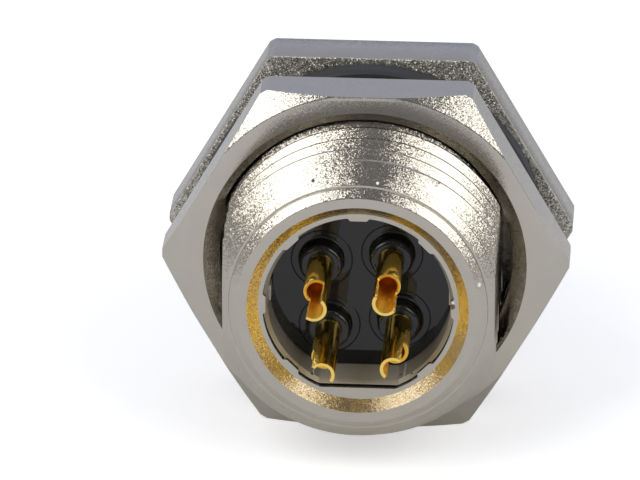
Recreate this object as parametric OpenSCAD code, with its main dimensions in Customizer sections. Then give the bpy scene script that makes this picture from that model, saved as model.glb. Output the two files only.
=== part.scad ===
// Panel-mount circular connector, size M12, four poles, with a solder side at the rear.
// The axis runs along Y: -Y is the rear (solder) side, +Y the mating side.
// The origin is on the axis, in the plane of the flange face that meets the panel.
// Both hexagons have a flat at the bottom, so the connector can lie on them.

/* [Rear barrel] */
// Diameter over the panel thread
barrel_d = 15.2; // [14.8:0.1:16.4]
// Length of the barrel behind the flange
barrel_l = 11.2; // [9:0.1:14]
// Length of the chamfer on the barrel's end
barrel_chamfer = 1.25; // [0.8:0.05:1.5]
// Radial height of that chamfer
barrel_chamfer_h = 1.55; // [1:0.05:1.6]
// Distance across the two side flats of the barrel
flats_w = 13.55; // [13:0.05:14.6]

/* [Mouth of the barrel] */
// Depth of the countersunk mouth
mouth_depth = 0.5; // [0.3:0.05:0.8]
// Radial width of the countersunk mouth
mouth_flare = 0.43; // [0.3:0.01:0.6]
// Radial width of the lip's flat face
lip_face = 0.3; // [0.2:0.05:0.4]
// Thickness of the lip
lip_t = 0.25; // [0.2:0.01:0.4]
// How much wider the lip's hole is than the bore behind it
lip_step = 0.08; // [0.04:0.01:0.12]
// Width of one stake at its foot
stake_w = 1.15; // [0.8:0.01:1.4]
// How far a stake reaches inwards from the lip
stake_reach = 0.15; // [0.12:0.01:0.2]
// Length of the undercut behind the lip
undercut_l = 0.9; // [0.5:0.05:1.4]
// Depth of the undercut behind the lip
undercut_depth = 0.05; // [0.02:0.01:0.1]

/* [Bores of the shell] */
// Diameter of the keyed rear bore
bore_d = 9.54; // [9.4:0.01:9.8]
// Distance from the axis to the flat of the rear bore
bore_flat = 4.35; // [4.2:0.01:4.4]
// Distance from the panel face to the shoulder that ends the rear bore
shoulder_y = 1.8; // [1.4:0.05:2]
// Radial width of that shoulder
shoulder_w = 0.17; // [0.12:0.01:0.3]
// Chamfer at the mouth of the front bore
front_bore_chamfer = 0.3; // [0.1:0.05:0.4]

/* [Hexagons of flange and nut] */
// Metal between the panel thread and the wrench flats
wrench_wall = 1.4; // [1.2:0.1:2.4]
// How far the corners are turned off
corner_cut = 0.12; // [0.05:0.01:0.6]

/* [Flange] */
// Thickness of the flange
flange_t = 2.55; // [2.2:0.05:4]
// Bevel round the edges of the flange
flange_bevel = 0.18; // [0.05:0.01:0.3]

/* [Mating collar] */
// Diameter over the coupling thread
collar_d = 12; // [11.8:0.1:13]
// Length of the collar in front of the flange
collar_l = 8; // [7:0.1:12]
// Chamfer on the collar's end
collar_chamfer = 0.6; // [0.3:0.05:0.8]
// Width of the run-out groove behind the coupling thread
runout_w = 1.2; // [0.8:0.1:1.6]
// Depth of the run-out groove
runout_depth = 0.65; // [0.4:0.05:0.8]

/* [Mounting nut] */
// Thickness of the nut
nut_t = 2.6; // [2:0.1:3.6]
// Free gap between the nut and the seal
nut_gap = 1.33; // [0.4:0.01:2]
// How far the ring on the nut's rear face would reach past a flat
nut_face_over = 0.1; // [0.05:0.05:0.4]
// Slope of the nut's corner chamfer, in degrees
nut_chamfer_angle = 30; // [20:1:40]
// Size of the countersink at the thread entry
nut_countersink = 0.5; // [0.2:0.05:0.6]
// Size of the small chamfer on the nut's front side
nut_front_chamfer = 0.2; // [0.1:0.05:0.4]
// Radial clearance of the nut and the seal on the barrel
nut_clear = 0.05; // [0.02:0.01:0.1]

/* [Panel seal] */
// How far the rubber ring stays inside the flange's flats
seal_inset = 0.2; // [0.1:0.05:0.4]
// Thickness of the rubber ring
seal_t = 1.32; // [0.8:0.01:2]
// Radius of the ring's rounded edges
seal_edge = 0.3; // [0.1:0.05:0.35]

/* [Insulators] */
// Depth of the insert's rear face inside the barrel
insert_depth = 2.8; // [2:0.1:4]
// Radial clearance between pieces that are pushed together
push_clear = 0.03; // [0.01:0.01:0.05]
// Wall of the metal sleeve round the insert
sleeve_wall = 0.18; // [0.12:0.01:0.22]
// Height of the two nibs that hold the insert in the sleeve
nib_h = 0.12; // [0.08:0.01:0.18]
// Width and length of a nib
nib_w = 0.8; // [0.5:0.05:1]
// Diameter of the round boss at each contact
boss_d = 2.2; // [2:0.05:2.5]
// Height of the bosses
boss_h = 0.9; // [0.5:0.05:1.4]
// Rounding at the top of a boss
boss_round = 0.25; // [0.1:0.05:0.3]
// Gap between a boss and the fine groove round it
ring_gap = 0.26; // [0.15:0.01:0.3]
// Width of the fine groove
ring_w = 0.12; // [0.08:0.01:0.14]
// Depth of the fine groove
ring_depth = 0.1; // [0.05:0.01:0.2]
// Distance from the panel face to the plane between insert and carrier
split_y = 0.2; // [0:0.05:0.4]
// Wall of the carrier's skirt
skirt_wall = 0.32; // [0.25:0.01:0.4]
// Thickness of the carrier's floor in front of the shoulder
floor_t = 1.9; // [1.7:0.05:2.6]
// How far the carrier stays behind the collar's end
carrier_recess = 0.3; // [0.1:0.05:0.6]
// Width of the polarising key
key_w = 1; // [0.7:0.05:1.3]
// Height of the polarising key
key_h = 0.55; // [0.3:0.05:0.7]

/* [Carrier seal] */
// Distance from the shoulder to the seal groove
seal_groove_y = 0.4; // [0.3:0.05:0.6]
// Width of the seal groove
seal_groove_w = 0.8; // [0.6:0.05:0.9]
// Depth of the seal groove
seal_groove_depth = 0.45; // [0.3:0.05:0.5]

/* [Contacts] */
// Diameter of the circle that the contacts stand on
contact_circle_d = 5; // [4.8:0.05:5.2]
// Turn of the contact pattern, in degrees
clocking = 6.5; // [0:0.5:10]
// Outer diameter of the solder cup
cup_d = 1.3; // [1.2:0.01:1.4]
// Wall of the solder cup
cup_wall = 0.175; // [0.12:0.005:0.25]
// Length of the solder cup behind the barrel's end
cup_reach = 3.5; // [2.6:0.1:4.5]
// Length of the open half of the cup
cup_cut_l = 2.2; // [1.6:0.1:2.6]
// Depth of the cup's bore
cup_depth = 4.5; // [3.6:0.1:5.5]
// Diameter of the retaining collar
contact_collar_d = 1.9; // [1.7:0.05:2]
// Thickness of the retaining collar
contact_collar_t = 0.8; // [0.5:0.05:1]
// Diameter of the pin
pin_d = 1; // [0.9:0.01:1.05]
// Diameter of the shank that the carrier's floor grips
shank_d = 1.4; // [1.35:0.01:1.6]
// Distance from the collar's end back to the pin's tip
pin_recess = 1.35; // [1:0.05:2.5]
// Radial clearance round a contact
contact_clear = 0.02; // [0.01:0.01:0.04]

/* [Hidden] */

turn_fn = 96;      // facets of a large turned surface
small_fn = 48;     // facets of a small turned surface
over = 1;          // how far a cutter runs past what it cuts
contact_count = 4;
stake_places = 8;  // the one at the flat is lost in it

// Radii, from the axis outwards
barrel_r = barrel_d / 2;
hex_r = barrel_r + wrench_wall;
hex_corner_r = hex_r / cos(30) - corner_cut;
seal_r = hex_r - seal_inset;
collar_r = collar_d / 2;
bore_r = bore_d / 2;
lip_r = bore_r + lip_step;
lip_flat = bore_flat + lip_step;
undercut_r = lip_r + undercut_depth;
undercut_flat = lip_flat + undercut_depth;
mouth_floor_r = lip_r + lip_face;
mouth_r = mouth_floor_r + mouth_flare;
front_bore_r = bore_r - shoulder_w;
ring_bore_r = barrel_r + nut_clear;
sleeve_r = bore_r - push_clear;
sleeve_flat = bore_flat - push_clear;
sleeve_in_r = sleeve_r - sleeve_wall;
sleeve_in_flat = sleeve_flat - sleeve_wall;
insert_r = sleeve_in_r - push_clear;
insert_flat = sleeve_in_flat - push_clear;
skirt_r = front_bore_r - push_clear;
cavity_r = skirt_r - skirt_wall;
groove_floor_r = skirt_r - seal_groove_depth;
cup_r = cup_d / 2;
cup_bore_r = cup_r - cup_wall;
pin_r = pin_d / 2;
shank_r = shank_d / 2;
contact_collar_r = contact_collar_d / 2;
boss_r = boss_d / 2;
ring_r = boss_r + ring_gap;

// Stations along the axis, from the rear forwards
rear_y = -barrel_l;
lip_y = rear_y + mouth_depth;
lip_end_y = lip_y + lip_t;
undercut_end_y = lip_end_y + undercut_l;
sleeve_y = lip_end_y + push_clear;
insert_y = rear_y + insert_depth;
nut_y = -seal_t - nut_gap - nut_t;
front_y = flange_t + collar_l;
cavity_y = shoulder_y + floor_t;
carrier_front_y = front_y - carrier_recess;
groove_y = shoulder_y + seal_groove_y;
cup_y = rear_y - cup_reach;
contact_collar_y = split_y + contact_collar_t;
pin_tip_y = front_y - pin_recess;

// ---- helpers ----

// Points on an arc round [cx, cy], from angle a0 to angle a1.
function arc(cx, cy, r, a0, a1, steps = 6) =
    [for (i = [0:steps]) let (a = a0 + (a1 - a0) * i / steps)
        [cx + r * cos(a), cy + r * sin(a)]];

// Turns a profile of [radius, station] points round the axis.
module turned(profile, fn = turn_fn)
    rotate([-90, 0, 0]) rotate_extrude($fn = fn) polygon(profile);

// A round bar from station y0 to station y1.
module bar(r, y0, y1, fn = turn_fn)
    translate([0, y0, 0]) rotate([-90, 0, 0]) cylinder(r = r, h = y1 - y0, $fn = fn);

// A round bar with one flat below, a distance flat from the axis.
module keyed_bar(r, flat, y0, y1)
    intersection() {
        bar(r, y0, y1);
        translate([-r - over, y0 - over, -flat])
            cube([2 * (r + over), y1 - y0 + 2 * over, r + flat + over]);
    }

// A hexagonal bar with flats above and below, its corners turned off.
module hex_bar(y0, y1)
    intersection() {
        translate([0, y0, 0]) rotate([-90, 0, 0])
            cylinder(r = hex_r / cos(30), h = y1 - y0, $fn = 6);
        bar(hex_corner_r, y0 - over, y1 + over);
    }

// Six wedges that bevel the edges of a hexagonal bar's end face at station y.
// inward is +1 where the bar lies on the +Y side of the face, and -1 otherwise.
module hex_edge_wedges(y, size, inward)
    for (side = [0:5])
        rotate([0, 60 * side, 0]) rotate([90, 0, 90])
            linear_extrude(height = 2 * hex_r, center = true)
                polygon([[y - inward * over, hex_r - size - over],
                         [y + inward * (size + over), hex_r + over],
                         [y - inward * over, hex_r + over]]);

// Turns its children out to contact place index, their +X pointing outwards.
module at_contact(index) {
    angle = clocking + 45 + 90 * index;
    rotate([0, -angle, 0]) translate([contact_circle_d / 2, 0, 0]) children();
}

module at_contacts()
    for (index = [0:contact_count - 1]) at_contact(index) children();

// ---- shell ----

module barrel()
    intersection() {
        turned([[0, rear_y], [barrel_r - barrel_chamfer_h, rear_y],
                [barrel_r, rear_y + barrel_chamfer], [barrel_r, flange_t / 2],
                [0, flange_t / 2]]);
        translate([-flats_w / 2, rear_y - over, -barrel_r - over])
            cube([flats_w, barrel_l + flange_t + over, 2 * (barrel_r + over)]);
    }

module flange()
    difference() {
        hex_bar(0, flange_t);
        hex_edge_wedges(0, flange_bevel, 1);
        hex_edge_wedges(flange_t, flange_bevel, -1);
    }

module collar()
    turned([[0, flange_t / 2], [collar_r - runout_depth, flange_t / 2],
            [collar_r - runout_depth, flange_t + runout_w - runout_depth],
            [collar_r, flange_t + runout_w], [collar_r, front_y - collar_chamfer],
            [collar_r - collar_chamfer, front_y], [0, front_y]]);

// The countersunk mouth, down to the lip.
module mouth_cutter()
    turned([[0, rear_y - over], [mouth_r + over * mouth_flare / mouth_depth, rear_y - over],
            [mouth_floor_r, lip_y], [0, lip_y]]);

// The hole in the lip, with the stakes left standing in it.
module lip_cutter()
    difference() {
        keyed_bar(lip_r, lip_flat, lip_y - over, lip_end_y + undercut_l / 2);
        for (place = [1:stake_places - 1])
            rotate([0, 90 - 360 / stake_places * place, 0]) stake();
    }

// One stake, pointing inwards from +X. The lip's thickness is its height.
module stake()
    translate([0, lip_end_y, 0]) rotate([90, 0, 0])
        linear_extrude(height = lip_t)
            polygon([[lip_r - stake_reach, -stake_w / 2 + stake_reach],
                     [lip_r - stake_reach, stake_w / 2 - stake_reach],
                     [lip_r, stake_w / 2], [lip_r + over, stake_w / 2],
                     [lip_r + over, -stake_w / 2], [lip_r, -stake_w / 2]]);

module shell()
    color("silver") difference() {
        union() {
            barrel();
            flange();
            collar();
        }
        mouth_cutter();
        lip_cutter();
        keyed_bar(undercut_r, undercut_flat, lip_end_y, undercut_end_y);
        keyed_bar(bore_r, bore_flat, undercut_end_y - undercut_l / 2, shoulder_y);
        bar(front_bore_r, shoulder_y - over, front_y + over);
        turned([[0, front_y - front_bore_chamfer - front_bore_r],
                [front_bore_r + front_bore_chamfer + over, front_y + over],
                [0, front_y + over]]);
    }

// ---- nut and seal ----

module mounting_nut() {
    front = nut_y + nut_t;
    face_r = hex_r + nut_face_over;
    edge_r = hex_corner_r + over;
    color("gainsboro") difference() {
        intersection() {
            hex_bar(nut_y, front);
            turned([[0, nut_y], [face_r, nut_y],
                    [edge_r, nut_y + (edge_r - face_r) * tan(nut_chamfer_angle)],
                    [edge_r, front + over], [0, front + over]]);
        }
        bar(ring_bore_r, nut_y - over, front + over);
        turned([[0, nut_y - over], [ring_bore_r + nut_countersink + over, nut_y - over],
                [ring_bore_r, nut_y + nut_countersink], [0, nut_y + nut_countersink]]);
        turned([[0, front + over], [ring_bore_r + nut_front_chamfer + over, front + over],
                [ring_bore_r, front - nut_front_chamfer], [0, front - nut_front_chamfer]]);
    }
}

module panel_seal()
    color("dimgray") turned(concat(
        [[ring_bore_r, -seal_t]],
        arc(seal_r - seal_edge, -seal_t + seal_edge, seal_edge, -90, 0),
        arc(seal_r - seal_edge, -seal_edge, seal_edge, 0, 90),
        [[ring_bore_r, 0]]));

// ---- sleeve, insulators and their seal ----

// The sleeve has two small nibs inside that stop the insert from sliding back.
module inner_sleeve()
    color("lightsteelblue") {
        difference() {
            keyed_bar(sleeve_r, sleeve_flat, sleeve_y, split_y);
            keyed_bar(sleeve_in_r, sleeve_in_flat, sleeve_y - over, split_y + over);
        }
        intersection() {
            difference() {
                bar(sleeve_in_r + sleeve_wall / 2, insert_y - push_clear - nib_w,
                    insert_y - push_clear);
                bar(sleeve_in_r - nib_h, insert_y - over - nib_w, insert_y + over);
            }
            translate([-sleeve_r, insert_y - 2 * nib_w, -nib_w / 2])
                cube([2 * sleeve_r, 2 * nib_w, nib_w]);
        }
    }

module boss()
    turned(concat(
        [[0, insert_y + ring_depth], [boss_r, insert_y + ring_depth]],
        arc(boss_r - boss_round, insert_y - boss_h + boss_round, boss_round, 0, -90),
        [[0, insert_y - boss_h]]), small_fn);

module ring_groove()
    difference() {
        bar(ring_r + ring_w / 2, insert_y - over, insert_y + ring_depth, small_fn);
        bar(ring_r - ring_w / 2, insert_y - 2 * over, insert_y + over, small_fn);
    }

module rear_insert()
    color([0.12, 0.12, 0.13]) difference() {
        union() {
            difference() {
                keyed_bar(insert_r, insert_flat, insert_y, split_y);
                at_contacts() ring_groove();
            }
            at_contacts() boss();
        }
        at_contacts()
            bar(cup_r + contact_clear, insert_y - boss_h - over, split_y + over, small_fn);
    }

module contact_carrier()
    color([0.2, 0.2, 0.22]) difference() {
        union() {
            keyed_bar(sleeve_r, sleeve_flat, split_y, shoulder_y);
            bar(skirt_r, shoulder_y, carrier_front_y);
        }
        difference() {
            bar(cavity_r, cavity_y, carrier_front_y + over);
            rotate([0, -clocking, 0])
                translate([-key_w / 2, cavity_y - over, cavity_r - key_h])
                    cube([key_w, carrier_front_y - cavity_y + over, key_h + over]);
        }
        difference() {
            bar(skirt_r + over, groove_y, groove_y + seal_groove_w);
            bar(groove_floor_r, groove_y - over, groove_y + seal_groove_w + over);
        }
        at_contacts() {
            bar(shank_r + contact_clear, split_y - over, cavity_y + over, small_fn);
            bar(contact_collar_r + contact_clear, split_y - over, contact_collar_y, small_fn);
        }
    }

module carrier_seal() {
    inner = groove_floor_r + push_clear;
    outer = front_bore_r - push_clear / 2;
    edge = seal_groove_w / 4;
    rear = groove_y + push_clear;
    front = groove_y + seal_groove_w - push_clear;
    color("firebrick") turned(concat(
        [[inner, rear]],
        arc(outer - edge, rear + edge, edge, -90, 0),
        arc(outer - edge, front - edge, edge, 0, 90),
        [[inner, front]]));
}

// ---- contacts ----

// One turned contact: solder cup, body, retaining collar and pin.
module contact(index)
    color("gold") at_contact(index) difference() {
        turned(concat(
            [[0, cup_y], [cup_r, cup_y], [cup_r, split_y], [contact_collar_r, split_y],
             [contact_collar_r, contact_collar_y], [shank_r, contact_collar_y],
             [shank_r, cavity_y], [pin_r, cavity_y]],
            arc(0, pin_tip_y - pin_r, pin_r, 0, 90)), small_fn);
        bar(cup_bore_r, cup_y - over, cup_y + cup_depth, small_fn);
        translate([0, cup_y - over, -cup_r - over])
            cube([cup_r + over, cup_cut_l + over, 2 * (cup_r + over)]);
    }

module contact_1() contact(0);
module contact_2() contact(1);
module contact_3() contact(2);
module contact_4() contact(3);

shell();
mounting_nut();
panel_seal();
inner_sleeve();
rear_insert();
contact_carrier();
carrier_seal();
contact_1();
contact_2();
contact_3();
contact_4();
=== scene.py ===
# %% [markdown]
# # A panel-mount circular connector, seen from its solder side
# The connector is turned from brass and plated with nickel. A hexagonal flange
# sits between two threaded barrels, a nut and a rubber ring clamp it to a panel,
# and four gold contacts stand in black plastic inside it.
#
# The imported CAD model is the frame: it fixes where every piece is. The pieces
# below are finer copies of its nodes, with real threads, softened edges and
# finishes, and each rides on the body that its node belongs to.

# %% Load the frame
import math

import bmesh
import bpy
from mathutils import Matrix, Vector

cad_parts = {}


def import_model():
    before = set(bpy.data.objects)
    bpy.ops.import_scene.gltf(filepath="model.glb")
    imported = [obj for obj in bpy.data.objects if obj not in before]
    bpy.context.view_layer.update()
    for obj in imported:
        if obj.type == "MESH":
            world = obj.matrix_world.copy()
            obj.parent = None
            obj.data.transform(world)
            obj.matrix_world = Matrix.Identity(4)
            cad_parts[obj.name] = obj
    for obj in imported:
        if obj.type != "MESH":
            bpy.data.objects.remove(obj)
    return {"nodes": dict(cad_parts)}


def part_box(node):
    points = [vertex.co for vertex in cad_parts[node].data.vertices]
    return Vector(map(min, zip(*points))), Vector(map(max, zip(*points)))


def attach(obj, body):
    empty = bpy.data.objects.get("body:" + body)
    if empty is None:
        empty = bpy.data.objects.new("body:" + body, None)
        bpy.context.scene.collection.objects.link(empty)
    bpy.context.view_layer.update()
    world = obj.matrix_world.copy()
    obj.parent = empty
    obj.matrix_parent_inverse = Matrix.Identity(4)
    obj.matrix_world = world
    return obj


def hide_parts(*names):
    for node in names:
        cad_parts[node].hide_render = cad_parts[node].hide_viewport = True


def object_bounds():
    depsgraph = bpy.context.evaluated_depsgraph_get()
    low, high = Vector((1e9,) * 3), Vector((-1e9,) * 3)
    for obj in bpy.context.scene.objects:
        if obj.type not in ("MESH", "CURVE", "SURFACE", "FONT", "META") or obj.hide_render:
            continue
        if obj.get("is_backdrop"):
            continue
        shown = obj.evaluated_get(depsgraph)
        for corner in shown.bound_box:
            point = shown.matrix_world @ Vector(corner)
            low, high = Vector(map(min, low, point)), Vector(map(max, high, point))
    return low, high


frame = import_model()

cad_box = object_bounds()

# %% [markdown]
# ## Working in millimetres
# A connector is so small that its metre values have many zeros, and boolean
# cuts are safer on numbers near one. So each piece is modelled in millimetres
# and its finished mesh is scaled to metres once, at the very end.
#
# The stations along the axis come from the frame's boxes. The axis is Y: the
# solder side is at its low end, and the flange's rear face is at 0.

# %% Stations and radii
MM = 0.001


def station(node, end):
    """How far along the axis a node starts (end 0) or stops (end 1), in mm."""
    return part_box(node)[end].y / MM


REAR_Y = station("shell", 0)
FRONT_Y = station("shell", 1)
NUT_Y = station("mounting_nut", 0)
NUT_FRONT_Y = station("mounting_nut", 1)
SEAL_Y = station("panel_seal", 0)
SPLIT_Y = station("rear_insert", 1)
HEX_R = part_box("shell")[1].z / MM
CORNER_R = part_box("shell")[1].x / MM
SEAL_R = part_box("panel_seal")[1].x / MM
SEGMENTS = 192
SMALL_SEGMENTS = 64
OVER = 1.0  # how far a cutter reaches past what it cuts
print(f"shell {REAR_Y:.2f} to {FRONT_Y:.2f} mm, nut {NUT_Y:.2f} to {NUT_FRONT_Y:.2f} mm")

# %% [markdown]
# ## Turned parts
# A lathe makes nearly everything here, so one helper turns an outline of
# (radius, station) points round the Y axis. A third number on a point softens
# that corner with a small curve, because no real edge is perfectly sharp and
# it is the soft edges that catch the light.

# %% Outline and lathe
MAX_REACH = 0.4  # of a side's length, so that the curves at its ends stay apart
SUPPORT = 1.2    # distance of the extra point, as a multiple of the reach


def soften(points, steps=3):
    """Replaces each corner that has a third number by a curve of that reach.
    One more point just before and after the curve keeps flat faces shaded flat."""
    out = []
    for i, point in enumerate(points):
        here = Vector(point[:2])
        reach = point[2] if len(point) > 2 else 0
        if not reach:
            out.append(tuple(here))
            continue
        before = Vector(points[i - 1][:2]) - here
        after = Vector(points[(i + 1) % len(points)][:2]) - here
        reach = min(reach, before.length * MAX_REACH, after.length * MAX_REACH)
        a = here + before.normalized() * reach
        b = here + after.normalized() * reach
        out.append(tuple(here + before.normalized() * reach * SUPPORT))
        for k in range(steps + 1):
            t = k / steps
            out.append(tuple(a.lerp(here, t).lerp(here.lerp(b, t), t)))
        out.append(tuple(here + after.normalized() * reach * SUPPORT))
    return out


def new_object(name, mesh):
    """Puts a bmesh into the scene as an object, its faces pointing outwards."""
    bmesh.ops.recalc_face_normals(mesh, faces=mesh.faces)
    data = bpy.data.meshes.new(name)
    mesh.to_mesh(data)
    mesh.free()
    obj = bpy.data.objects.new(name, data)
    bpy.context.scene.collection.objects.link(obj)
    return obj


def lathe(name, points, segments=SEGMENTS, steps=3):
    """Turns a closed outline of (radius, station, softness) round the Y axis."""
    mesh = bmesh.new()
    rings = []
    for radius, y in soften(points, steps):
        count = segments if radius > 0 else 1
        turns = [math.tau * k / count for k in range(count)]
        rings.append([mesh.verts.new((radius * math.cos(a), y, radius * math.sin(a)))
                      for a in turns])
    for here, there in zip(rings, rings[1:] + rings[:1]):
        for k in range(segments):
            quad = [here[k % len(here)], here[(k + 1) % len(here)],
                    there[(k + 1) % len(there)], there[k % len(there)]]
            corners = list(dict.fromkeys(quad))
            if len(corners) > 2:
                mesh.faces.new(corners)
    return new_object(name, mesh)


def bar(name, radius, y0, y1, segments=SEGMENTS):
    """A plain round bar between two stations."""
    return lathe(name, [(0, y0), (radius, y0), (radius, y1), (0, y1)], segments)


def block(name, low, high):
    """A rectangular block between two corners."""
    mesh = bmesh.new()
    bmesh.ops.create_cube(mesh, size=1)
    size = Vector(high) - Vector(low)
    centre = (Vector(high) + Vector(low)) / 2
    bmesh.ops.transform(mesh, verts=mesh.verts,
                        matrix=Matrix.Translation(centre) @ Matrix.Diagonal((*size, 1)))
    return new_object(name, mesh)


# %% [markdown]
# ## Cutting
# Flats, keyed bores and hexagons are cut from turned bars, as on the machine.
# The boolean modifier does it, and its result is baked into a plain mesh at
# once, so that nothing is left to evaluate later.

# %% Boolean and bake
def bake(obj):
    """Turns what the modifiers show into the object's own mesh."""
    depsgraph = bpy.context.evaluated_depsgraph_get()
    result = bpy.data.meshes.new_from_object(obj.evaluated_get(depsgraph))
    obj.modifiers.clear()
    old = obj.data
    obj.data = result
    bpy.data.meshes.remove(old)


def combine(target, tool, operation):
    """Cuts, joins or intersects target with tool, and uses the tool up."""
    boolean = target.modifiers.new(operation.lower(), "BOOLEAN")
    boolean.operation = operation
    boolean.solver = "EXACT"
    boolean.object = tool
    bake(target)
    bpy.data.objects.remove(tool)
    return target


def cut(target, tool):
    return combine(target, tool, "DIFFERENCE")


def join(target, tool):
    return combine(target, tool, "UNION")


def keep_inside(target, tool):
    return combine(target, tool, "INTERSECT")


def keyed_bar(name, radius, flat, y0, y1, segments=SEGMENTS):
    """A round bar with one flat below, as the D-shaped bore and sleeve have."""
    side = radius + OVER
    return keep_inside(bar(name, radius, y0, y1, segments),
                       block("key", (-side, y0 - OVER, -flat), (side, y1 + OVER, side)))


# %% [markdown]
# ## Threads with Geometry Nodes
# A thread is one groove that follows a helix, so it is made by a rule: a
# spiral curve with a trapezoid swept along it. The node tree below has named
# inputs for pitch, length and groove, and the same tree makes the cutter for
# the panel thread, the coupling thread and the thread inside the nut.
# A displaced cylinder would be quicker, but its crests would be jagged where
# the flats are milled, and a swept cutter leaves clean edges there.

# %% The groove cutter's node tree
def groove_tree():
    tree = bpy.data.node_groups.new("helical_groove", "GeometryNodeTree")
    sockets = tree.interface
    for name in ("Pitch", "Turns", "Depth", "Floor Width", "Mouth Width", "Middle Radius"):
        sockets.new_socket(name, in_out="INPUT", socket_type="NodeSocketFloat")
    sockets.new_socket("Steps Per Turn", in_out="INPUT", socket_type="NodeSocketInt")
    sockets.new_socket("Inner Side Out", in_out="INPUT", socket_type="NodeSocketBool")
    sockets.new_socket("Material", in_out="INPUT", socket_type="NodeSocketMaterial")
    sockets.new_socket("Groove", in_out="OUTPUT", socket_type="NodeSocketGeometry")
    nodes, link = tree.nodes, tree.links.new
    given = nodes.new("NodeGroupInput")
    result = nodes.new("NodeGroupOutput")

    height = nodes.new("ShaderNodeMath")
    height.operation = "MULTIPLY"
    link(given.outputs["Pitch"], height.inputs[0])
    link(given.outputs["Turns"], height.inputs[1])

    spiral = nodes.new("GeometryNodeCurveSpiral")
    link(given.outputs["Steps Per Turn"], spiral.inputs["Resolution"])
    link(given.outputs["Turns"], spiral.inputs["Rotations"])
    link(given.outputs["Middle Radius"], spiral.inputs["Start Radius"])
    link(given.outputs["Middle Radius"], spiral.inputs["End Radius"])
    link(height.outputs[0], spiral.inputs["Height"])
    spiral.inputs["Reverse"].default_value = True  # a right-hand thread

    place = nodes.new("GeometryNodeInputPosition")
    outwards = nodes.new("ShaderNodeVectorMath")
    outwards.operation = "MULTIPLY"
    outwards.inputs[1].default_value = (1, 1, 0)
    link(place.outputs[0], outwards.inputs[0])
    normals = nodes.new("GeometryNodeSetCurveNormal")
    normals.mode = "FREE"
    link(spiral.outputs[0], normals.inputs["Curve"])
    link(outwards.outputs[0], normals.inputs["Normal"])

    section = nodes.new("GeometryNodeCurvePrimitiveQuadrilateral")
    section.mode = "TRAPEZOID"
    section.inputs["Offset"].default_value = 0
    link(given.outputs["Depth"], section.inputs["Height"])
    link(given.outputs["Floor Width"], section.inputs["Bottom Width"])
    link(given.outputs["Mouth Width"], section.inputs["Top Width"])

    quarter = nodes.new("GeometryNodeSwitch")
    quarter.input_type = "FLOAT"
    quarter.inputs["False"].default_value = -math.pi / 2
    quarter.inputs["True"].default_value = math.pi / 2
    link(given.outputs["Inner Side Out"], quarter.inputs["Switch"])
    angle = nodes.new("ShaderNodeCombineXYZ")
    link(quarter.outputs[0], angle.inputs["Z"])
    upright = nodes.new("GeometryNodeTransform")
    link(section.outputs[0], upright.inputs["Geometry"])
    link(angle.outputs[0], upright.inputs["Rotation"])

    sweep = nodes.new("GeometryNodeCurveToMesh")
    sweep.inputs["Fill Caps"].default_value = True
    link(normals.outputs[0], sweep.inputs["Curve"])
    link(upright.outputs[0], sweep.inputs["Profile Curve"])

    real = nodes.new("GeometryNodeRealizeInstances")
    finish = nodes.new("GeometryNodeSetMaterial")
    link(sweep.outputs[0], real.inputs[0])
    link(real.outputs[0], finish.inputs["Geometry"])
    link(given.outputs["Material"], finish.inputs["Material"])
    link(finish.outputs[0], result.inputs[0])
    return tree


GROOVE = groove_tree()
STEPS_PER_TURN = 120
print("groove inputs:", [s.name for s in GROOVE.interface.items_tree if s.in_out == "INPUT"])


def groove_cutter(name, pitch, turns, start_y, inner, outer, slope, floor, internal=False):
    """A helical cutter whose trapezoid runs from radius inner to radius outer.
    floor is the groove's width at its bottom, and slope is the flank angle from
    the plane across the axis. An internal thread has its bottom outside."""
    mouth = floor + 2 * (outer - inner) * math.tan(math.radians(slope))
    obj = new_object(name, bmesh.new())
    modifier = obj.modifiers.new("groove", "NODES")
    modifier.node_group = GROOVE
    values = {"Pitch": pitch, "Turns": turns, "Depth": outer - inner,
              "Floor Width": floor, "Mouth Width": mouth,
              "Middle Radius": (inner + outer) / 2, "Steps Per Turn": STEPS_PER_TURN,
              "Inner Side Out": internal}
    for socket in GROOVE.interface.items_tree:
        if socket.name in values:
            modifier[socket.identifier] = values[socket.name]
    bake(obj)
    along_y = Matrix.Rotation(-math.pi / 2, 4, "X")
    obj.data.transform(Matrix.Translation((0, start_y, 0)) @ along_y)
    return obj


# %% [markdown]
# ## Finishes
# The plated nickel has a fine grain, as if it were full of tiny facets. It
# looks plain grey where it mirrors something even, and sparkles where it
# mirrors the edge of a lamp. A bump map would blur this into ripples. Instead
# each cell of a Voronoi pattern gets one random direction, which tilts the
# normal of the whole cell, as a real facet does. Plastic and rubber get an
# ordinary fine bump.

# %% Node groups for facets and grain
def node_group(name, inputs, outputs):
    """An empty shader group with float inputs, and outputs of the given types."""
    tree = bpy.data.node_groups.new(name, "ShaderNodeTree")
    for label, value in inputs.items():
        socket = tree.interface.new_socket(label, in_out="INPUT", socket_type="NodeSocketFloat")
        socket.default_value = value
    for label, kind in outputs.items():
        tree.interface.new_socket(label, in_out="OUTPUT", socket_type="NodeSocket" + kind)
    return tree, tree.nodes.new("NodeGroupInput"), tree.nodes.new("NodeGroupOutput")


def pattern(tree, given, kind, scale_input):
    """A texture node on object coordinates, its scale tied to a group input."""
    place = tree.nodes.new("ShaderNodeTexCoord")
    texture = tree.nodes.new(kind)
    tree.links.new(place.outputs["Object"], texture.inputs["Vector"])
    tree.links.new(given.outputs[scale_input], texture.inputs["Scale"])
    return texture


def vector_step(tree, operation, *sources):
    """One vector operation. A source is an output to link or a fixed vector."""
    step = tree.nodes.new("ShaderNodeVectorMath")
    step.operation = operation
    for socket, source in zip(step.inputs, sources):
        if isinstance(source, tuple):
            socket.default_value = source
        else:
            tree.links.new(source, socket)
    return step


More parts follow.
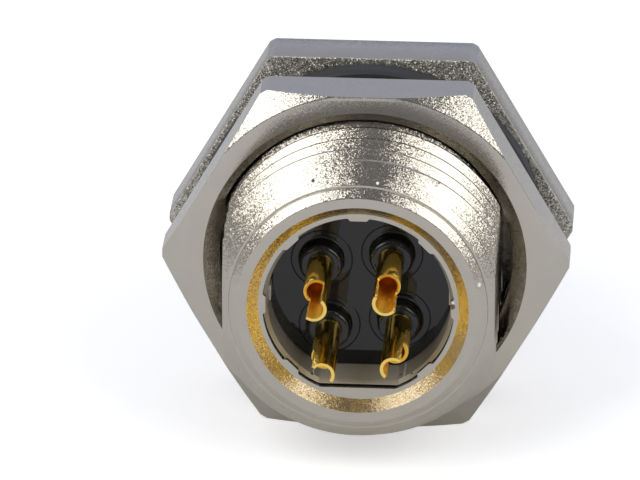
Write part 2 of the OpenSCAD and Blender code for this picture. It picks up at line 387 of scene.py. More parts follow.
def mix_colours(tree, factor, a, b):
    """Blends two colours. A colour is an output to link or a fixed (r, g, b)."""
    mix = tree.nodes.new("ShaderNodeMix")
    mix.data_type = "RGBA"
    tree.links.new(factor, mix.inputs["Factor"])
    for label, colour in (("A", a), ("B", b)):
        if isinstance(colour, tuple):
            mix.inputs[label].default_value = (*colour, 1)
        else:
            tree.links.new(colour, mix.inputs[label])
    return mix.outputs["Result"]


def facet_group():
    """A normal tilted cell by cell, and a slow mottle from 0 to 1."""
    tree, given, result = node_group(
        "plated_facets", {"Facet Scale": 25000, "Tilt": 0.2, "Mottle Scale": 900},
        {"Normal": "Vector", "Mottle": "Float"})
    cells = pattern(tree, given, "ShaderNodeTexVoronoi", "Facet Scale")
    surface_normal = tree.nodes.new("ShaderNodeNewGeometry").outputs["Normal"]
    random = vector_step(tree, "SUBTRACT", cells.outputs["Color"], (0.5, 0.5, 0.5))
    tilt = vector_step(tree, "SCALE", random.outputs[0])
    tree.links.new(given.outputs["Tilt"], tilt.inputs["Scale"])
    total = vector_step(tree, "ADD", surface_normal, tilt.outputs[0])
    unit = vector_step(tree, "NORMALIZE", total.outputs[0])
    slow = pattern(tree, given, "ShaderNodeTexNoise", "Mottle Scale")
    tree.links.new(unit.outputs[0], result.inputs["Normal"])
    tree.links.new(slow.outputs[0], result.inputs["Mottle"])
    return tree


def grain_group():
    """Height of a fine moulded grain, and a slow mottle from 0 to 1."""
    tree, given, result = node_group(
        "moulded_grain", {"Grain Scale": 9000, "Mottle Scale": 900},
        {"Height": "Float", "Mottle": "Float"})
    fine = pattern(tree, given, "ShaderNodeTexNoise", "Grain Scale")
    slow = pattern(tree, given, "ShaderNodeTexNoise", "Mottle Scale")
    tree.links.new(fine.outputs[0], result.inputs["Height"])
    tree.links.new(slow.outputs[0], result.inputs["Mottle"])
    return tree


FACETS, GRAIN = facet_group(), grain_group()
print("shared finishes:", FACETS.name, GRAIN.name)


# %% [markdown]
# One function starts every surface: a Principled shader whose fixed numbers
# sit on its own sockets, and a slow mottle that moves the colour a little
# between two tones. Metals then add the facets, and the rest adds the bump.
#
# Each line below gives a name, a darker and a lighter tone, the roughness, the
# number of facets or grains in a metre, and the facets' tilt or the height of
# the grain in metres.

# %% Surfaces
def surface(name, group, tones, roughness, metallic):
    """A material between two tones, its shader, and its node from a group."""
    material = bpy.data.materials.new(name)
    material.use_nodes = True
    nodes, link = material.node_tree.nodes, material.node_tree.links.new
    shader = nodes["Principled BSDF"]
    shader.inputs["Roughness"].default_value = roughness
    shader.inputs["Metallic"].default_value = metallic
    shared = nodes.new("ShaderNodeGroup")
    shared.node_tree = group
    tone = mix_colours(material.node_tree, shared.outputs["Mottle"], *tones)
    link(tone, shader.inputs["Base Color"])
    return material, shader, shared


def metal(name, dark, light, roughness, scale, tilt):
    """tilt is how far a facet may lean, as a share of the normal's length."""
    material, shader, facets = surface(name, FACETS, (dark, light), roughness, 1)
    facets.inputs["Facet Scale"].default_value = scale
    facets.inputs["Tilt"].default_value = tilt
    material.node_tree.links.new(facets.outputs["Normal"], shader.inputs["Normal"])
    return material


def moulded(name, dark, light, roughness, scale, depth, metallic=0):
    """depth is the height of the bump in metres."""
    material, shader, grain = surface(name, GRAIN, (dark, light), roughness, metallic)
    grain.inputs["Grain Scale"].default_value = scale
    bump = material.node_tree.nodes.new("ShaderNodeBump")
    bump.inputs["Distance"].default_value = depth
    material.node_tree.links.new(grain.outputs["Height"], bump.inputs["Height"])
    material.node_tree.links.new(bump.outputs[0], shader.inputs["Normal"])
    return material


NICKEL = metal(
    "nickel_plate", (0.47, 0.44, 0.38), (0.53, 0.50, 0.43), 0.17, 25000, 0.25)
# rougher nickel for the flange's rear face and bevel; its lighter tone is a painted highlight
MATT_NICKEL_PAINTED_HIGHLIGHT = metal(
    "nickel_matt_painted_highlight", (0.50, 0.47, 0.41), (0.64, 0.61, 0.54), 0.4, 22000, 0.7)
NUT_NICKEL = metal(
    "nickel_nut", (0.49, 0.46, 0.40), (0.55, 0.52, 0.45), 0.17, 25000, 0.19)
FACED_NICKEL = metal(
    "nickel_faced", (0.49, 0.46, 0.40), (0.55, 0.52, 0.45), 0.20, 25000, 0.05)
BRASS = metal(
    "bare_brass", (0.37, 0.31, 0.21), (0.47, 0.395, 0.275), 0.20, 24000, 0.21)
GOLD = metal(
    "gold_plate", (0.95, 0.66, 0.15), (0.98, 0.72, 0.20), 0.10, 9000, 0.05)
# rougher gold for the drilled cups, painted darker and deeper orange as painted shade inside
# them
CUP_GOLD_PAINTED_SHADE = metal(
    "gold_inside_painted_shade", (0.84, 0.43, 0.03), (0.90, 0.50, 0.06), 0.42, 9000, 0.2)
BLACK = moulded(
    "insert_plastic", (0.006, 0.0063, 0.0066), (0.009, 0.0093, 0.0096), 0.04, 2500, 2e-7)
SLEEVE = moulded(
    "sleeve_grey", (0.42, 0.40, 0.35), (0.48, 0.46, 0.40), 0.35, 9000, 2e-6, metallic=0.5)
CARRIER = moulded(
    "carrier_plastic", (0.012, 0.012, 0.013), (0.018, 0.018, 0.02), 0.25, 3000, 3e-6)
RUBBER = moulded(
    "seal_rubber", (0.018, 0.018, 0.019), (0.028, 0.028, 0.029), 0.55, 9000, 6e-6)
RING = moulded(
    "o_ring_rubber", (0.03, 0.03, 0.03), (0.045, 0.045, 0.045), 0.5, 9000, 5e-6)
print("materials:", len(bpy.data.materials))


# %% [markdown]
# ## Small marks
# This connector isn't spotless. A mark is a tiny round mask at a place given in
# millimetres. Inside it the metal gives way to a matt tone: dark for dirt, and
# pale for a painted glint, a small highlight painted into the colour.

# %% The mark's node group
SOLID_SHARE = 0.5  # of a mark's radius that is fully covered


def smooth_step(tree, source, low, high, start=0, end=1):
    """start below low, end above high, and a soft change between."""
    step = tree.nodes.new("ShaderNodeMapRange")
    step.interpolation_type = "SMOOTHSTEP"
    values = {"From Min": low, "From Max": high, "To Min": start, "To Max": end}
    for label, value in values.items():
        step.inputs[label].default_value = value
    tree.links.new(source, step.inputs["Value"])
    return step.outputs[0]


def mark_group():
    """1 inside a small sphere round a place, fading to 0 at its radius."""
    tree, given, result = node_group(
        "small_mark", {"X": 0, "Y": 0, "Z": 0, "Radius": 1e-4}, {"Mask": "Float"})
    here = tree.nodes.new("ShaderNodeTexCoord")
    place = tree.nodes.new("ShaderNodeCombineXYZ")
    for axis in "XYZ":
        tree.links.new(given.outputs[axis], place.inputs[axis])
    away = vector_step(tree, "DISTANCE", here.outputs["Object"], place.outputs[0])
    share = tree.nodes.new("ShaderNodeMath")
    share.operation = "DIVIDE"
    tree.links.new(away.outputs["Value"], share.inputs[0])
    tree.links.new(given.outputs["Radius"], share.inputs[1])
    fade = smooth_step(tree, share.outputs[0], SOLID_SHARE, 1, start=1, end=0)
    tree.links.new(fade, result.inputs["Mask"])
    return tree


MARK = mark_group()
print("mark inputs:", [s.name for s in MARK.interface.items_tree if s.in_out == "INPUT"])


# %% Marks
DIRT = (0.02, 0.018, 0.015)
RUST_BROWN = (0.16, 0.07, 0.02)
# pale tone of the painted glints: small highlights painted into the colour
PAINTED_GLINT = (0.95, 0.93, 0.88)


def add_mark(material, tone, radius, place):
    """Lays one mark over what the material already shows. radius and place in mm."""
    nodes, link = material.node_tree.nodes, material.node_tree.links.new
    base = nodes["Principled BSDF"].inputs["Base Color"]
    metallic = nodes["Principled BSDF"].inputs["Metallic"]
    mask = nodes.new("ShaderNodeGroup")
    mask.node_tree = MARK
    for axis, value in zip("XYZ", place):
        mask.inputs[axis].default_value = value * MM
    mask.inputs["Radius"].default_value = radius * MM
    under = base.links[0].from_socket
    link(mix_colours(material.node_tree, mask.outputs["Mask"], under, tone), base)
    fade = nodes.new("ShaderNodeMix")
    fade.inputs["A"].default_value = metallic.default_value
    fade.inputs["B"].default_value = 0
    if metallic.links:
        link(metallic.links[0].from_socket, fade.inputs["A"])
    link(mask.outputs["Mask"], fade.inputs["Factor"])
    link(fade.outputs["Result"], metallic)


# the pale marks are painted highlights (glints); the dark ones are dirt, the brown one a rust
# stain
MARKS = [
    (NICKEL, DIRT, 0.12, (-2.27, -10.43, 6.62)),
    (NICKEL, PAINTED_GLINT, 0.10, (-0.45, -10.65, 6.73)),
    (NICKEL, PAINTED_GLINT, 0.10, (0.93, -10.65, 6.67)),
    (NICKEL, PAINTED_GLINT, 0.16, (6.06, -11.12, 1.55)),
    (NICKEL, RUST_BROWN, 0.20, (4.66, -10.7, 0.15)),
    (NICKEL, PAINTED_GLINT, 0.09, (4.72, -10.7, 0.36)),
    (SLEEVE, DIRT, 0.11, (-2.32, -10.16, -3.93)),
    (SLEEVE, DIRT, 0.11, (2.09, -9.72, -4.05)),
    (SLEEVE, DIRT, 0.09, (2.65, -10.24, -3.71)),
]
for mark in MARKS:
    add_mark(*mark)
print("marks:", len(MARKS))


# %% [markdown]
# ## Handing a piece to the frame
# A finished piece gets its finish, is smoothed by angle and scaled to metres,
# and is tied to the body that its CAD node rides on. The node itself is hidden
# from view but stays in the physics model. Where a second finish shows on the
# same piece, it is painted on the faces that a test picks out.

# %% Finishing helpers
FACE_TOL = 0.001  # mm, for telling which faces lie in a flat face


def coat(obj, material):
    """Gives every face of a piece the one material."""
    obj.data.materials.clear()
    obj.data.materials.append(material)
    for face in obj.data.polygons:
        face.material_index = 0
    return obj


def paint(obj, material, test):
    """Gives material to the faces whose centre (radius, station) passes test."""
    obj.data.materials.append(material)
    for face in obj.data.polygons:
        x, y, z = face.center
        if test(math.hypot(x, z), y):
            face.material_index = len(obj.data.materials) - 1


def hand_over(obj, node, body="shell_body", crease=32):
    """Smooths and scales a piece, and lets it stand for its CAD node."""
    obj.data.shade_smooth()
    obj.data.set_sharp_from_angle(angle=math.radians(crease))
    obj.data.transform(Matrix.Scale(MM, 4))
    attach(obj, body)
    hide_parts(node)
    print(f"{obj.name}: {len(obj.data.polygons)} faces")


# %% [markdown]
# ## Hexagons
# Flange and nut share one hexagon bar. It is a six-sided prism with small
# bevels along its rims, turned down at the corners so that they end in narrow
# round strips.

# %% Hexagon bar
def hexagon(name, y0, y1, bevel):
    mesh = bmesh.new()
    reach = HEX_R / math.cos(math.radians(30))
    rings = [[mesh.verts.new((reach * math.cos(math.tau * k / 6), y,
                              reach * math.sin(math.tau * k / 6))) for k in range(6)]
             for y in (y0, y1)]
    for k in range(6):
        n = (k + 1) % 6
        mesh.faces.new([rings[0][k], rings[0][n], rings[1][n], rings[1][k]])
    caps = [mesh.faces.new(ring) for ring in rings]
    rims = [edge for cap in caps for edge in cap.edges]
    bmesh.ops.bevel(mesh, geom=rims, offset=bevel, offset_type="WIDTH", segments=2,
                    profile=0.5, affect="EDGES")
    turned = lathe("corners", [(0, y0 - OVER), (CORNER_R, y0 - OVER),
                               (CORNER_R, y1 + OVER), (0, y1 + OVER)])
    return keep_inside(new_object(name, mesh), turned)


# %% [markdown]
# ## The shell
# The shell is one turned piece. The panel thread has a pitch of 1.41 mm and
# wide flanks, and two flats are milled along it. The coupling thread in front
# is M12 with a pitch of 1 mm. The mouth is countersunk through the plating, so
# its cone shows brass, and below it a thin lip is staked inwards in seven
# places to hold what was pushed in.

# %% Barrel
BARREL_R = 7.6
FLAT_X = 6.775
FLANGE_T = 2.55
FLANGE_BEVEL = 0.18
END_FACE_R = 6.05
CHAMFER_L = 1.25
LINE_R, LINE_HALF = 6.5, 0.07          # a fine line turned into the chamfer
LINE_IN, LINE_ALONG = 0.04, 0.05
PANEL_PITCH = 1.41
PANEL_SLOPE = 40
PANEL_ROOT_R = 6.98
PANEL_FLOOR = 0.23
PANEL_PHASE = 0.88
PANEL_CUT_R = BARREL_R + 0.06
THREAD_START = REAR_Y - PANEL_PITCH + PANEL_PHASE
THREAD_END = -0.9                      # just short of the flange


def panel_barrel():
    slope = CHAMFER_L / (BARREL_R - END_FACE_R)
    low, middle, high = [(r, REAR_Y + slope * (r - END_FACE_R))
                         for r in (LINE_R - LINE_HALF, LINE_R, LINE_R + LINE_HALF)]
    middle = (middle[0] - LINE_IN, middle[1] + LINE_ALONG)
    barrel = lathe("threaded_shell", [
        (0, REAR_Y), (END_FACE_R, REAR_Y, 0.04), low, middle, high,
        (BARREL_R, REAR_Y + CHAMFER_L, 0.08), (BARREL_R, FLANGE_T / 2), (0, FLANGE_T / 2)])
    turns = (THREAD_END - THREAD_START) / PANEL_PITCH
    cut(barrel, groove_cutter("panel_groove", PANEL_PITCH, turns, THREAD_START, PANEL_ROOT_R,
                              PANEL_CUT_R, PANEL_SLOPE, PANEL_FLOOR))
    side = BARREL_R + OVER
    return keep_inside(barrel, block("flats", (-FLAT_X, REAR_Y - OVER, -side),
                                     (FLAT_X, FLANGE_T, side)))


# %% [markdown]
# The collar on the mating side carries the coupling thread for the plug. A
# neck behind that thread gives its cutter room to start, as on a lathe.

# %% Mating collar
COLLAR_R = 6.0
COLLAR_CHAMFER = 0.6
NECK_L, NECK_DEPTH = 1.2, 0.65
COUPLING_PITCH = 1.0
COUPLING_SLOPE = 30
COUPLING_ROOT_R = 5.39
COUPLING_FLOOR = 0.17
COUPLING_CUT_R = COLLAR_R + 0.05
COUPLING_START = FLANGE_T + 0.5        # inside the neck
COUPLING_END = FRONT_Y + 0.7           # past the collar's end


def mating_collar():
    neck_r = COLLAR_R - NECK_DEPTH
    neck_end = FLANGE_T + NECK_L
    collar = lathe("collar", [
        (0, FLANGE_T / 2), (neck_r, FLANGE_T / 2), (neck_r, neck_end - NECK_DEPTH, 0.1),
        (COLLAR_R, neck_end, 0.05), (COLLAR_R, FRONT_Y - COLLAR_CHAMFER, 0.08),
        (COLLAR_R - COLLAR_CHAMFER, FRONT_Y, 0.06), (0, FRONT_Y)])
    turns = (COUPLING_END - COUPLING_START) / COUPLING_PITCH
    return cut(collar, groove_cutter("coupling_groove", COUPLING_PITCH, turns, COUPLING_START,
                                     COUPLING_ROOT_R, COUPLING_CUT_R, COUPLING_SLOPE,
                                     COUPLING_FLOOR))


# %% [markdown]
# The stakes are small tongues left standing when the lip's hole is cut, so the
# cutter has a notch for each. They come from one notch turned in equal steps;
# the eighth place is lost in the flat.

# %% Lip
MOUTH_R, MOUTH_DEPTH = 5.53, 0.5
LIP_OUT_R = 5.0
LIP_R, LIP_FLAT, LIP_T = 4.78, 4.4, 0.25
LIP_Y = REAR_Y + MOUTH_DEPTH
STAKE_W, STAKE_REACH = 1.15, 0.17
STAKES, STAKE_STEP = 7, 45
LIP_OVER = 0.4                         # the cutter runs on into the undercut


def lip_cutter():
    cutter = keyed_bar("lip_hole", LIP_R, LIP_FLAT, LIP_Y - OVER, LIP_Y + LIP_T + LIP_OVER)
    tip = LIP_R - STAKE_REACH
    for place in range(1, STAKES + 1):
        mesh = bmesh.new()
        half, y0, y1 = STAKE_W / 2, LIP_Y, LIP_Y + LIP_T
        plan = [(tip, -half + STAKE_REACH), (tip, half - STAKE_REACH), (LIP_R, half),
                (LIP_R + OVER, half), (LIP_R + OVER, -half), (LIP_R, -half)]
        low = [mesh.verts.new((x, y0, z)) for x, z in plan]
        high = [mesh.verts.new((x, y1, z)) for x, z in plan]
        mesh.faces.new(low)
        mesh.faces.new(high)
        for k in range(len(plan)):
            n = (k + 1) % len(plan)
            mesh.faces.new([low[k], low[n], high[n], high[k]])
        turn = math.radians(90 - STAKE_STEP * place)
        bmesh.ops.transform(mesh, matrix=Matrix.Rotation(turn, 4, "Y"), verts=mesh.verts)
        cut(cutter, new_object("stake", mesh))
    return cutter


# %% [markdown]
# The bores come last. The rear ones have the same flat below as the lip, and
# the front one is round. The nickel then goes on all over, bare brass on the
# countersunk cone, and a coarser nickel on the flange's rear face and its bevel,
# whose lighter tone is a painted highlight.

# %% Bores and the finished shell
BORE_R, BORE_FLAT = 4.77, 4.35
UNDERCUT_R, UNDERCUT_FLAT, UNDERCUT_L = 4.90, 4.48, 0.9
SHOULDER_Y = 1.8
FRONT_BORE_R, FRONT_SINK = 4.6, 0.3
RIM_BAND = 0.3                         # the flange's bevel lies in this outer band
EDGE_TOL = 0.02                        # mm, for telling which faces lie on the cone


def threaded_shell():
    shell = panel_barrel()
    join(shell, hexagon("flange", 0, FLANGE_T, FLANGE_BEVEL))
    join(shell, mating_collar())
    reach = MOUTH_R + OVER * (MOUTH_R - LIP_OUT_R) / MOUTH_DEPTH
    cut(shell, lathe("mouth", [
        (0, REAR_Y - OVER), (reach, REAR_Y - OVER), (LIP_OUT_R, LIP_Y), (0, LIP_Y)]))
    cut(shell, lip_cutter())
    lip_end = LIP_Y + LIP_T
    cut(shell, keyed_bar("undercut", UNDERCUT_R, UNDERCUT_FLAT, lip_end, lip_end + UNDERCUT_L))
    cut(shell, keyed_bar("rear_bore", BORE_R, BORE_FLAT, lip_end + UNDERCUT_L / 2, SHOULDER_Y))
    cut(shell, lathe("front_bore", [
        (0, SHOULDER_Y - OVER), (FRONT_BORE_R, SHOULDER_Y - OVER),
        (FRONT_BORE_R, FRONT_Y - FRONT_SINK), (FRONT_BORE_R + FRONT_SINK + OVER, FRONT_Y + OVER),
        (0, FRONT_Y + OVER)]))
    return shell


def on_mouth(r, y):
    """True on the countersunk cone of the mouth."""
    return (LIP_OUT_R - EDGE_TOL < r < MOUTH_R + EDGE_TOL
            and REAR_Y + FACE_TOL < y < LIP_Y - FACE_TOL)


def on_flange_rear(r, y):
    """True on the flange's rear face and on the bevel round it."""
    return abs(y) < FACE_TOL or (r > HEX_R - RIM_BAND and 0 < y < FLANGE_BEVEL)


shell = coat(threaded_shell(), NICKEL)
paint(shell, BRASS, on_mouth)
# painted highlight: the rougher, lighter nickel on the flange's rear face and its bevel
paint(shell, MATT_NICKEL_PAINTED_HIGHLIGHT, on_flange_rear)
hand_over(shell, "shell", crease=25)


# %% [markdown]
# ## The mounting nut
# Its rear corners are turned off at 30 degrees, which leaves a round face.
# The thread inside has the same pitch as the barrel's. Its crests stand inside
# the barrel's grooves with play on both flanks, at rest and when the nut sits
# against the seal. The joint is a plain slide, so in between the crests pass
# through each other, as they wouldn't if the nut also turned.

# %% Nut
NUT_CREST_R = 7.4
NUT_ROOT_R = 7.9
NUT_SINK_R = 8.15
NUT_FRONT_SINK = 0.45
NUT_FLOOR = 0.3
NUT_CUT_R = NUT_CREST_R - 0.05
NUT_FACE_R = HEX_R + 0.1
NUT_BEVEL = 0.06
NUT_CHAMFER = 30
NUT_PHASE = 0.75                       # puts its crests into the barrel's grooves


def mounting_nut():
    nut = hexagon("hexagon_nut", NUT_Y, NUT_FRONT_Y, NUT_BEVEL)
    edge_r = CORNER_R + OVER
    rise = (edge_r - NUT_FACE_R) * math.tan(math.radians(NUT_CHAMFER))
    keep_inside(nut, lathe("corner_cone", [
        (0, NUT_Y - FACE_TOL), (NUT_FACE_R, NUT_Y - FACE_TOL, 0.06), (edge_r, NUT_Y + rise),
        (edge_r, NUT_FRONT_Y + OVER), (0, NUT_FRONT_Y + OVER)]))
    sink = NUT_SINK_R - NUT_CREST_R
    cut(nut, lathe("nut_bore", [
        (0, NUT_Y - OVER), (NUT_SINK_R + OVER, NUT_Y - OVER), (NUT_CREST_R, NUT_Y + sink),
        (NUT_CREST_R, NUT_FRONT_Y - NUT_FRONT_SINK),
        (NUT_CREST_R + NUT_FRONT_SINK + OVER, NUT_FRONT_Y + OVER), (0, NUT_FRONT_Y + OVER)]))
    start = THREAD_START + NUT_PHASE
    first = math.floor((NUT_Y - start) / PANEL_PITCH) - 1
    turns = (NUT_FRONT_Y - NUT_Y) / PANEL_PITCH + 3
    cut(nut, groove_cutter("nut_groove", PANEL_PITCH, turns, start + first * PANEL_PITCH,
                           NUT_CUT_R, NUT_ROOT_R, PANEL_SLOPE, NUT_FLOOR, internal=True))
    return nut


nut = coat(mounting_nut(), NUT_NICKEL)
paint(nut, FACED_NICKEL, lambda r, y: abs(y - NUT_Y) < 2 * FACE_TOL)
hand_over(nut, "mounting_nut", body="nut", crease=20)


# %% [markdown]
# ## Seals
# Both rubber rings are moulded, so their outlines have large soft corners.

# %% Panel seal and carrier seal
SEAL_IN_R = 7.65
SMALL_SEAL_W = 0.4


def panel_seal():
    return lathe("rubber_seal", [
        (SEAL_IN_R, SEAL_Y, 0.1), (SEAL_R, SEAL_Y, 0.3), (SEAL_R, 0, 0.3), (SEAL_IN_R, 0, 0.1)])


def carrier_seal():
    low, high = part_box("carrier_seal")
    y0, y1, radius = low.y / MM, high.y / MM, high.x / MM
    return lathe("small_seal", [
        (radius - SMALL_SEAL_W, y0, 0.1), (radius, y0, 0.25),
        (radius, y1, 0.25), (radius - SMALL_SEAL_W, y1, 0.1)])


hand_over(coat(panel_seal(), RUBBER), "panel_seal")
hand_over(coat(carrier_seal(), RING), "carrier_seal")


# %% [markdown]
# ## The sleeve
# A thin D-shaped tube lines the bore. Its rear end is flared a little, by
# widening one end of the tool that cuts it, and two nibs are pressed inwards
# just behind the insert.

# %% Sleeve
SLEEVE_R, SLEEVE_FLAT, SLEEVE_WALL = 4.74, 4.32, 0.18
SLEEVE_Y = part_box("inner_sleeve")[0].y / MM
INSERT_DEPTH = 2.8
INSERT_Y = REAR_Y + INSERT_DEPTH
NIB_H, NIB_W, NIB_GAP = 0.12, 0.8, 0.03
FLARE, FLARE_L = 0.035, 0.25           # growth of the mouth as a share, and length


def inner_sleeve():
    sleeve = keyed_bar("lining_sleeve", SLEEVE_R, SLEEVE_FLAT, SLEEVE_Y, SPLIT_Y)
    inner_r = SLEEVE_R - SLEEVE_WALL
    cut(sleeve, keyed_bar("lining_bore", inner_r, SLEEVE_FLAT - SLEEVE_WALL,
                          SLEEVE_Y - OVER, SPLIT_Y + OVER))
    flare = keyed_bar("flare", inner_r, SLEEVE_FLAT - SLEEVE_WALL,
                      SLEEVE_Y - FLARE_L, SLEEVE_Y + FLARE_L)
    for vertex in flare.data.vertices:
        if vertex.co.y < SLEEVE_Y:
            vertex.co *= Vector((1 + 2 * FLARE, 1, 1 + 2 * FLARE))
    cut(sleeve, flare)
    for side in (-1, 1):
        edge = sorted((side * (inner_r - NIB_H), side * (inner_r + SLEEVE_WALL / 2)))
        nib_end = INSERT_Y - NIB_GAP
        join(sleeve, block("nib", (edge[0], nib_end - NIB_W, -NIB_W / 2),
                           (edge[1], nib_end, NIB_W / 2)))
    return sleeve


hand_over(coat(inner_sleeve(), SLEEVE), "inner_sleeve")


# %% [markdown]
# ## The insulators
# The insert is glossy black plastic. A round boss rises round each contact
# and a fine ring is moulded round each boss. The carrier beyond it reaches
# through to the mating side, where its cup and key guide the plug.

# %% Contact places
CONTACT_NODES = sorted(n for n in frame["nodes"] if n.startswith("contact_") and n[-1].isdigit())
print("contacts:", CONTACT_NODES)


def contact_turn(node):
    """Turns a piece modelled round the Y axis, facing +X, to its contact's place."""
    low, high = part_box(node)
    place = (low + high) / 2 / MM
    angle = math.atan2(place.z, place.x)
    return Matrix.Translation((place.x, 0, place.z)) @ Matrix.Rotation(-angle, 4, "Y")


def at_contacts(target, maker, operation):
    """Repeats one boolean with a fresh tool at every contact."""
    for node in CONTACT_NODES:
        tool = maker()
        tool.data.transform(contact_turn(node))
        combine(target, tool, operation)


# %% Insert
INSERT_R, INSERT_FLAT = 4.53, 4.11
BOSS_R, BOSS_H, BOSS_FOOT = 1.1, 0.9, 0.35
RING_R, RING_W, RING_DEPTH = 1.52, 0.08, 0.04
CUP_R, CUP_BORE_R, CUP_GAP = 0.65, 0.475, 0.02
PAST = 0.2                             # how far a tool reaches past the insert's face


def boss():
    foot = BOSS_R + BOSS_FOOT
    return lathe("boss", [
        (0, INSERT_Y + PAST), (foot, INSERT_Y + PAST), (foot, INSERT_Y + 2 * FACE_TOL),
        (BOSS_R, INSERT_Y, 0.3), (BOSS_R, INSERT_Y - BOSS_H, 0.4), (0, INSERT_Y - BOSS_H)],
        SMALL_SEGMENTS, steps=6)


def ring_groove():
    half = RING_W / 2
    return lathe("ring_groove", [
        (RING_R - half, INSERT_Y - PAST), (RING_R + half, INSERT_Y - PAST),
        (RING_R + half, INSERT_Y, 0.03), (RING_R, INSERT_Y + RING_DEPTH, 0.03),
        (RING_R - half, INSERT_Y, 0.03)], SMALL_SEGMENTS)


def contact_hole():
    return bar("contact_hole", CUP_R + CUP_GAP, INSERT_Y - BOSS_H - OVER,
               SPLIT_Y + OVER, SMALL_SEGMENTS)


def rear_insert():
    insert = keyed_bar("black_insert", INSERT_R, INSERT_FLAT, INSERT_Y, SPLIT_Y)
    at_contacts(insert, ring_groove, "DIFFERENCE")
    at_contacts(insert, boss, "UNION")
    at_contacts(insert, contact_hole, "DIFFERENCE")
    return insert


hand_over(coat(rear_insert(), BLACK), "rear_insert")


# %% Carrier
CARRIER_END = FRONT_Y - 0.3            # a little inside the collar
SKIRT_Y = SHOULDER_Y - 0.3             # it starts inside the D-shaped part
SKIRT_GAP, SKIRT_WALL = 0.03, 0.32
SEAT_DEPTH = 0.45                      # of the groove that holds the small seal
SEAT_Y = (SHOULDER_Y + 0.4, SHOULDER_Y + 1.2)
CAVITY_Y = 3.7
CAVITY_CHAMFER = 0.1
KEY_W, KEY_H = 1.0, 0.55


def contact_carrier():
    skirt_r = FRONT_BORE_R - SKIRT_GAP
    cavity_r = skirt_r - SKIRT_WALL
    carrier = keyed_bar("pin_carrier", SLEEVE_R, SLEEVE_FLAT, SPLIT_Y, SHOULDER_Y)
    join(carrier, lathe("skirt", [
        (0, SKIRT_Y), (skirt_r, SKIRT_Y), (skirt_r, SEAT_Y[0]),
        (skirt_r - SEAT_DEPTH, SEAT_Y[0]), (skirt_r - SEAT_DEPTH, SEAT_Y[1]),
        (skirt_r, SEAT_Y[1]), (skirt_r, CARRIER_END, 0.08), (0, CARRIER_END)]))
    cavity = lathe("cavity", [
        (0, CAVITY_Y), (cavity_r, CAVITY_Y, 0.15), (cavity_r, CARRIER_END - CAVITY_CHAMFER),
        (cavity_r + CAVITY_CHAMFER + OVER, CARRIER_END + OVER), (0, CARRIER_END + OVER)])
    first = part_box(CONTACT_NODES[0])
    lean = math.atan2((first[0].z + first[1].z), (first[0].x + first[1].x)) - math.radians(45)
    key = block("key", (-KEY_W / 2, CAVITY_Y - OVER, cavity_r - KEY_H),
                (KEY_W / 2, CARRIER_END, cavity_r + 2 * OVER))
    key.data.transform(Matrix.Rotation(-lean, 4, "Y"))
    cut(cavity, key)
    cut(carrier, cavity)
    return carrier


hand_over(coat(contact_carrier(), CARRIER), "contact_carrier")


# %% [markdown]
# ## Contacts
# Each contact is one turned piece: a drilled solder cup behind, with half of
# its wall cut away so that a wire can be laid in, and a round-nosed pin in
# front. A bevel modifier softens its sharp edges, because the bright rims of
# the cups are what is seen of them first.

# %% Contacts
CUP_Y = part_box("contact_1")[0].y / MM
PIN_TIP_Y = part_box("contact_1")[1].y / MM
CUP_CUT, CUP_DEPTH = 2.2, 4.5
DRILL_TIP = 0.2                        # the cone at the bottom of the drilled cup
CUP_END = 0.3                          # past the drilled depth, with that cone in it
BORE_TOL = 0.005
STOP_R, STOP_Y = 0.95, 1.0             # the thick part that sits in the carrier
SHANK_R, PIN_R = 0.7, 0.5
EDGE_SOFTNESS, EDGE_ANGLE = 0.025, 40


def inside_cup(r, y):
    """True on the drilled bore, while the piece still stands on the Y axis."""
    return r < CUP_BORE_R + BORE_TOL and y < CUP_Y + CUP_DEPTH + CUP_END


def contact(node):
    piece = lathe("gold_" + node, [
        (0, CUP_Y + CUP_DEPTH + DRILL_TIP), (CUP_BORE_R, CUP_Y + CUP_DEPTH), (CUP_BORE_R, CUP_Y),
        (CUP_R, CUP_Y), (CUP_R, SPLIT_Y), (STOP_R, SPLIT_Y), (STOP_R, STOP_Y),
        (SHANK_R, STOP_Y), (SHANK_R, CAVITY_Y), (PIN_R, CAVITY_Y), (PIN_R, PIN_TIP_Y, 0.45),
        (0, PIN_TIP_Y)], SMALL_SEGMENTS, steps=8)
    cut(piece, block("half", (0, CUP_Y - OVER, -OVER), (OVER, CUP_Y + CUP_CUT, OVER)))
    bevel = piece.modifiers.new("soft_edges", "BEVEL")
    bevel.width = EDGE_SOFTNESS
    bevel.segments = 2
    bevel.limit_method = "ANGLE"
    bevel.angle_limit = math.radians(EDGE_ANGLE)
    bake(piece)
    # the drilled bores get the darker, deeper orange gold: painted shade inside the cups
    paint(coat(piece, GOLD), CUP_GOLD_PAINTED_SHADE, inside_cup)
    piece.data.transform(contact_turn(node))
    return piece


for node in CONTACT_NODES:
    hand_over(contact(node), node)


# %% [markdown]
# ## Floor
# The object stands on a plain pale floor. A little glow that only the camera
# sees keeps the floor near white, and the object's shadow still falls on it.

# %% Floor
FLOOR_HALF = 0.9
FLOOR_TONE = 0.85
FLOOR_GLOW = 0.45


